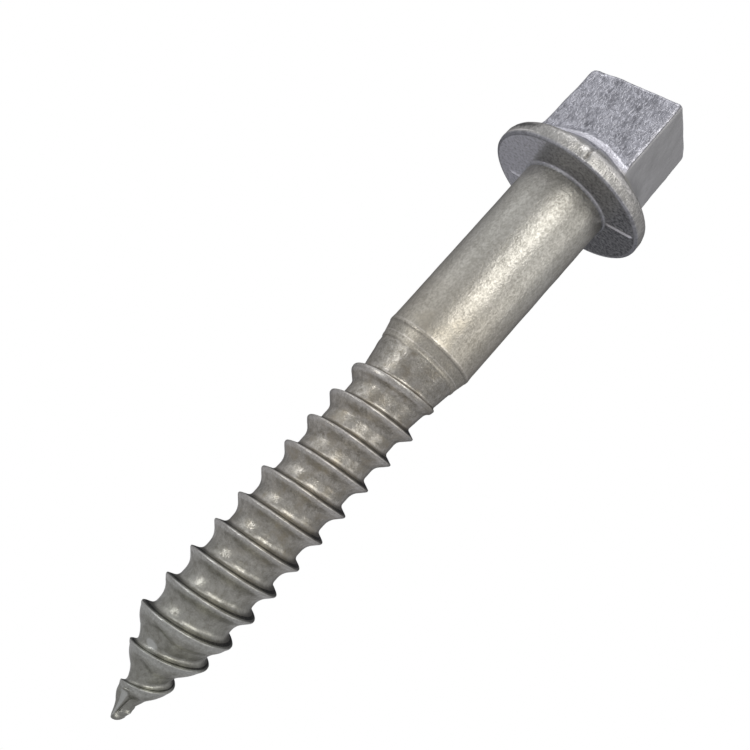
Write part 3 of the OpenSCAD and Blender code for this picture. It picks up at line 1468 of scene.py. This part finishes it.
    def _highlight_patch_off(self, angle: float, height: float) -> float:
        """Returns the distance from the painted highlight patch's middle, where 1 is its edge.
        """
        off = math.remainder(angle - self.highlight_patch_angle, TURN) / self.highlight_patch_spread
        return math.hypot(off, (height - self.highlight_patch_z) / self.highlight_patch_height)

    def _pinch(self, angle: float, height: float) -> float:
        """Returns how much of the radius is left in the flute that the dies pinched.

        Args:
            angle: The direction, round from +X.
            height: The height, from the seat.

        Returns:
            A share of the radius, a little over 1 on the lips.
        """
        rise = height - self.tip_z
        along_it = ease((rise - 0.8 * MM) / (1.4 * MM)) * ease((8.5 * MM - rise) / (3 * MM))
        off = math.remainder(angle - self.flute_angle, TURN)
        flute = self.flute_depth * bump_at(off, 0, self.flute_width)
        return 1 - along_it * (flute - self.lip_height * self._lips(off))

    def _lips(self, off: float) -> float:
        """Returns 1 on the two lips of the flute, at an angle from its middle."""
        return bump_at(off, self.lip_angle, 0.35) + bump_at(off, -self.lip_angle, 0.35)

    def _shown(self, row: int, step: int) -> float:
        """Returns how much of the ridge's full height there is at a row and step."""
        near = step if row < self.rows / 2 else step + self.steps_a_turn
        return ease(self._ridge(self._crest_z(near)) / (1.6 * MM))

    def _wear_and_highlight_mark(self, row: int, step: int) -> float:
        """Returns how rubbed the steel is on the crests and the flanks' brows, with painted
        highlights on one lip of the tip's flute, a patch on the point, the root and the groove.

        Args:
            row: The row of the section.
            step: The step of the helix.

        Returns:
            The mark, from 0 to a little over 1.
        """
        part, height = self.parts[row], self.sections[step][row][0]
        angle = TURN * step / self.steps_a_turn
        if height < self.tip_z + 7 * MM:
            off = math.remainder(angle - self.flute_angle, TURN)
            # a painted highlight along one lip of the flute; the other lip is lightly rubbed
            return 1.5 * self._lips(off) if off < 0 else 0.4 * self._lips(off)
        if part in (Flank.SHALLOW, Flank.GROOVE, Flank.ROOT):
            # a painted highlight patch on the point's flank
            off = self._highlight_patch_off(angle, height)
            if off < 1.5:
                return 1.5 * bump_at(off, 0, 1.0)
        if part in (Flank.CREST, Flank.BROW):
            return 0.55 * self._shown(row, step)
        if part is Flank.SHALLOW:
            up = (row - self.parts.index(Flank.SHALLOW)) / 6
            return 0.5 * ease((up - 0.35) / 0.65) * self._shown(row, step)
        if part is Flank.ROOT:
            # a painted highlight along the root
            return 0.28 * self._shown(row, step)
        if part is Flank.GROOVE:
            # a painted highlight in the groove
            return 0.2
        return 0.0

    def _oxide_and_shade_mark(self, row: int, step: int) -> float:
        """Returns 1 on the steep flank, as painted shade."""
        return (0.75 if self.parts[row] is Flank.STEEP else 0.0) * self._shown(row, step)

    def _rough_mark(self, row: int, step: int) -> float:
        """Returns how rough the steel is: smoother towards the tip.

        Args:
            row: The row of the section.
            step: The step of the helix.

        Returns:
            The mark, from 0 to 1.
        """
        height = self.sections[step][row][0]
        tip = ease((height - self.tip_z) / (12 * MM))
        return mix(0.6, 1.0, (height - self.point_z) / (60 * MM)) * mix(0.4, 1.0, tip)

    def build(self, effects: Effects) -> bpy.types.Object:
        """Builds the piece, dresses it and joins it to the frame.

        Args:
            effects: The shared node groups.

        Returns:
            The finished piece.
        """
        piece = self.rolled("thread_and_point", self.rows, self.steps, THREAD_FINISH, effects,
                            cut_z=self.top_z)
        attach(piece, "root")
        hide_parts("thread", "gimlet_point")
        return piece


# ---------------------------------------------------------------- the studio


@dataclass(frozen=True)
class SoftLight:
    """One soft light that faces the spike.

    Its side is an angle round the spike from the camera, positive to the right. It stands
    a height over the middle of the spike and a distance away from the axis. Its power is
    in watts.
    """

    name: str
    side: float
    height: float
    away: float
    width: float
    tall: float
    power: float
    colour: Colour = (1, 1, 1)


LIGHTS = (
    SoftLight("key", math.radians(3), 0.26, 0.5, 0.34, 0.4, 1.1, (1.0, 0.985, 0.95)),
    SoftLight("side", math.radians(-80), 0.12, 0.6, 0.4, 0.45, 0.27, (0.95, 0.97, 1.0)),
    SoftLight("low_side", math.radians(-56), -0.09, 0.5, 0.10, 0.07, 0.22),
    SoftLight("high_side", math.radians(-60), 0.5, 0.34, 0.3, 0.3, 0.46, (0.97, 0.98, 1.0)),
    SoftLight("right", math.radians(60), 0.14, 0.5, 0.26, 0.3, 0.26, (1.0, 0.98, 0.94)),
)


@dataclass
class Studio:
    """The pale floor, the soft lights and the camera."""

    azimuth: float = math.radians(29.85)
    tilt: float = math.radians(8.911)
    roll: float = math.radians(41.804)
    distance: float = 240.5 * MM
    aim_height: float = -65.6 * MM
    aim_side: float = -5.81 * MM
    focal_px: float = 999.28
    image_px: float = 750.0
    sensor_mm: float = 36.0
    floor_r: float = 0.3
    floor_colour: Colour = (0.72, 0.72, 0.74)
    room_low: Colour = (0.14, 0.145, 0.16)
    room_high: Colour = (0.50, 0.50, 0.52)
    room_back: Colour = (0.05, 0.05, 0.055)
    unlit_edge: Point2 = (0.62, 0.93)

    def _turned(self, x: float, y: float, z: float) -> Vector:
        """Returns a direction or place given square to the camera, in the frame's axes."""
        return Matrix.Rotation(self.azimuth, 3, "Z") @ Vector((x, y, z))

    def camera(self) -> bpy.types.Object:
        """Makes the camera and sets it as the scene's own.

        Returns:
            The camera.
        """
        forward = self._turned(0, math.cos(self.tilt), math.sin(self.tilt))
        level = self._turned(1, 0, 0)
        upright = level.cross(forward)
        c, s = math.cos(self.roll), math.sin(self.roll)
        right, up = level * c + upright * s, upright * c - level * s
        aim = self._turned(self.aim_side, 0, self.aim_height)
        data = bpy.data.cameras.new("camera")
        data.sensor_width = self.sensor_mm
        data.lens = self.sensor_mm * self.focal_px / self.image_px
        data.clip_start, data.clip_end = 0.01, 20.0
        made = bpy.data.objects.new("camera", data)
        bpy.context.scene.collection.objects.link(made)
        turn = Matrix((right, up, -forward)).transposed().to_4x4()
        made.matrix_world = Matrix.Translation(aim - forward * self.distance) @ turn
        bpy.context.scene.camera = made
        return made

    def light(self, kind: SoftLight) -> None:
        """Adds one light.

        Args:
            kind: What the light is and where it stands.
        """
        data = bpy.data.lights.new(kind.name, "AREA")
        data.shape = "RECTANGLE"
        data.size, data.size_y = kind.width, kind.tall
        data.energy = kind.power
        data.color = kind.colour
        made = bpy.data.objects.new(kind.name, data)
        bpy.context.scene.collection.objects.link(made)
        place = self._turned(kind.away * math.sin(kind.side), -kind.away * math.cos(kind.side),
                             kind.height)
        made.location = place + Vector((0, 0, self.aim_height))
        made.rotation_mode = "QUATERNION"
        made.rotation_quaternion = (-place).to_track_quat("-Z", "Y")

    def floor(self) -> None:
        """Adds the pale floor, just under the tip."""
        bm = bmesh.new()
        bmesh.ops.create_circle(bm, cap_ends=True, segments=96, radius=self.floor_r)
        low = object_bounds()[0]
        bmesh.ops.translate(bm, verts=bm.verts, vec=(0, 0, low.z - 1 * MM))
        mesh = bpy.data.meshes.new("floor")
        bm.to_mesh(mesh)
        bm.free()
        made = bpy.data.objects.new("floor", mesh)
        bpy.context.scene.collection.objects.link(made)
        material = bpy.data.materials.new("pale_floor")
        material.use_nodes = True
        material.node_tree.nodes.clear()
        graph = Graph(material.node_tree)
        seen = graph.node("LightPath").outputs["Is Camera Ray"]
        matt = graph.node("BsdfDiffuse", {"Color": rgba(self.floor_colour)})
        paper = graph.node("Emission", {"Color": rgba((1, 1, 1)), "Strength": 1.0})
        both = graph.node("MixShader", {0: seen, 1: matt.outputs[0], 2: paper.outputs[0]})
        output = graph.node("OutputMaterial")
        graph.link(both.outputs[0], output.inputs["Surface"])
        mesh.materials.append(material)
        made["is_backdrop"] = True

    def world(self) -> None:
        """Sets a white backdrop for the camera and a soft grey room for the reflections."""
        made = bpy.data.worlds.new("room")
        bpy.context.scene.world = made
        made.use_nodes = True
        made.node_tree.nodes.clear()
        graph = Graph(made.node_tree)
        seen = graph.node("LightPath").outputs["Is Camera Ray"]
        place = graph.node("TexCoord").outputs["Generated"]
        height = graph.node("SeparateXYZ", {"Vector": place}).outputs["Z"]
        room = graph.blend(graph.span(height, -0.5, 0.3), rgba(self.room_low),
                           rgba(self.room_high))
        # the far side of the room is unlit
        behind = self._turned(0.05, 0.9, 0.42).normalized()
        facing = graph.node("VectorMath", {0: place, 1: behind}, operation="DOT_PRODUCT")
        unlit = graph.span(facing.outputs["Value"], *self.unlit_edge)
        room = graph.blend(unlit, room, rgba(self.room_back))
        colour = graph.blend(seen, room, rgba((1, 1, 1)))
        back = graph.node("Background", {"Color": colour, "Strength": 1.0})
        output = graph.node("OutputWorld")
        graph.link(back.outputs[0], output.inputs["Surface"])

    def build(self) -> None:
        """Builds the whole studio."""
        bpy.context.scene.view_settings.view_transform = "Standard"
        self.world()
        self.floor()
        for kind in LIGHTS:
            self.light(kind)
        self.camera()


def main() -> None:
    """Builds the spike and its studio."""
    logging.basicConfig(level=logging.INFO, format="%(name)s: %(message)s")
    effects = Effects()
    for part in (HeadAndCollar(), ShankAndNeck(), ThreadAndPoint()):
        piece = part.build(effects)
        faces = piece.data.polygons
        log.info("%s: %d faces, %d triangles", piece.name, len(faces),
                 sum(len(face.vertices) - 2 for face in faces))
    Studio().build()


if __name__ == "__main__":
    main()
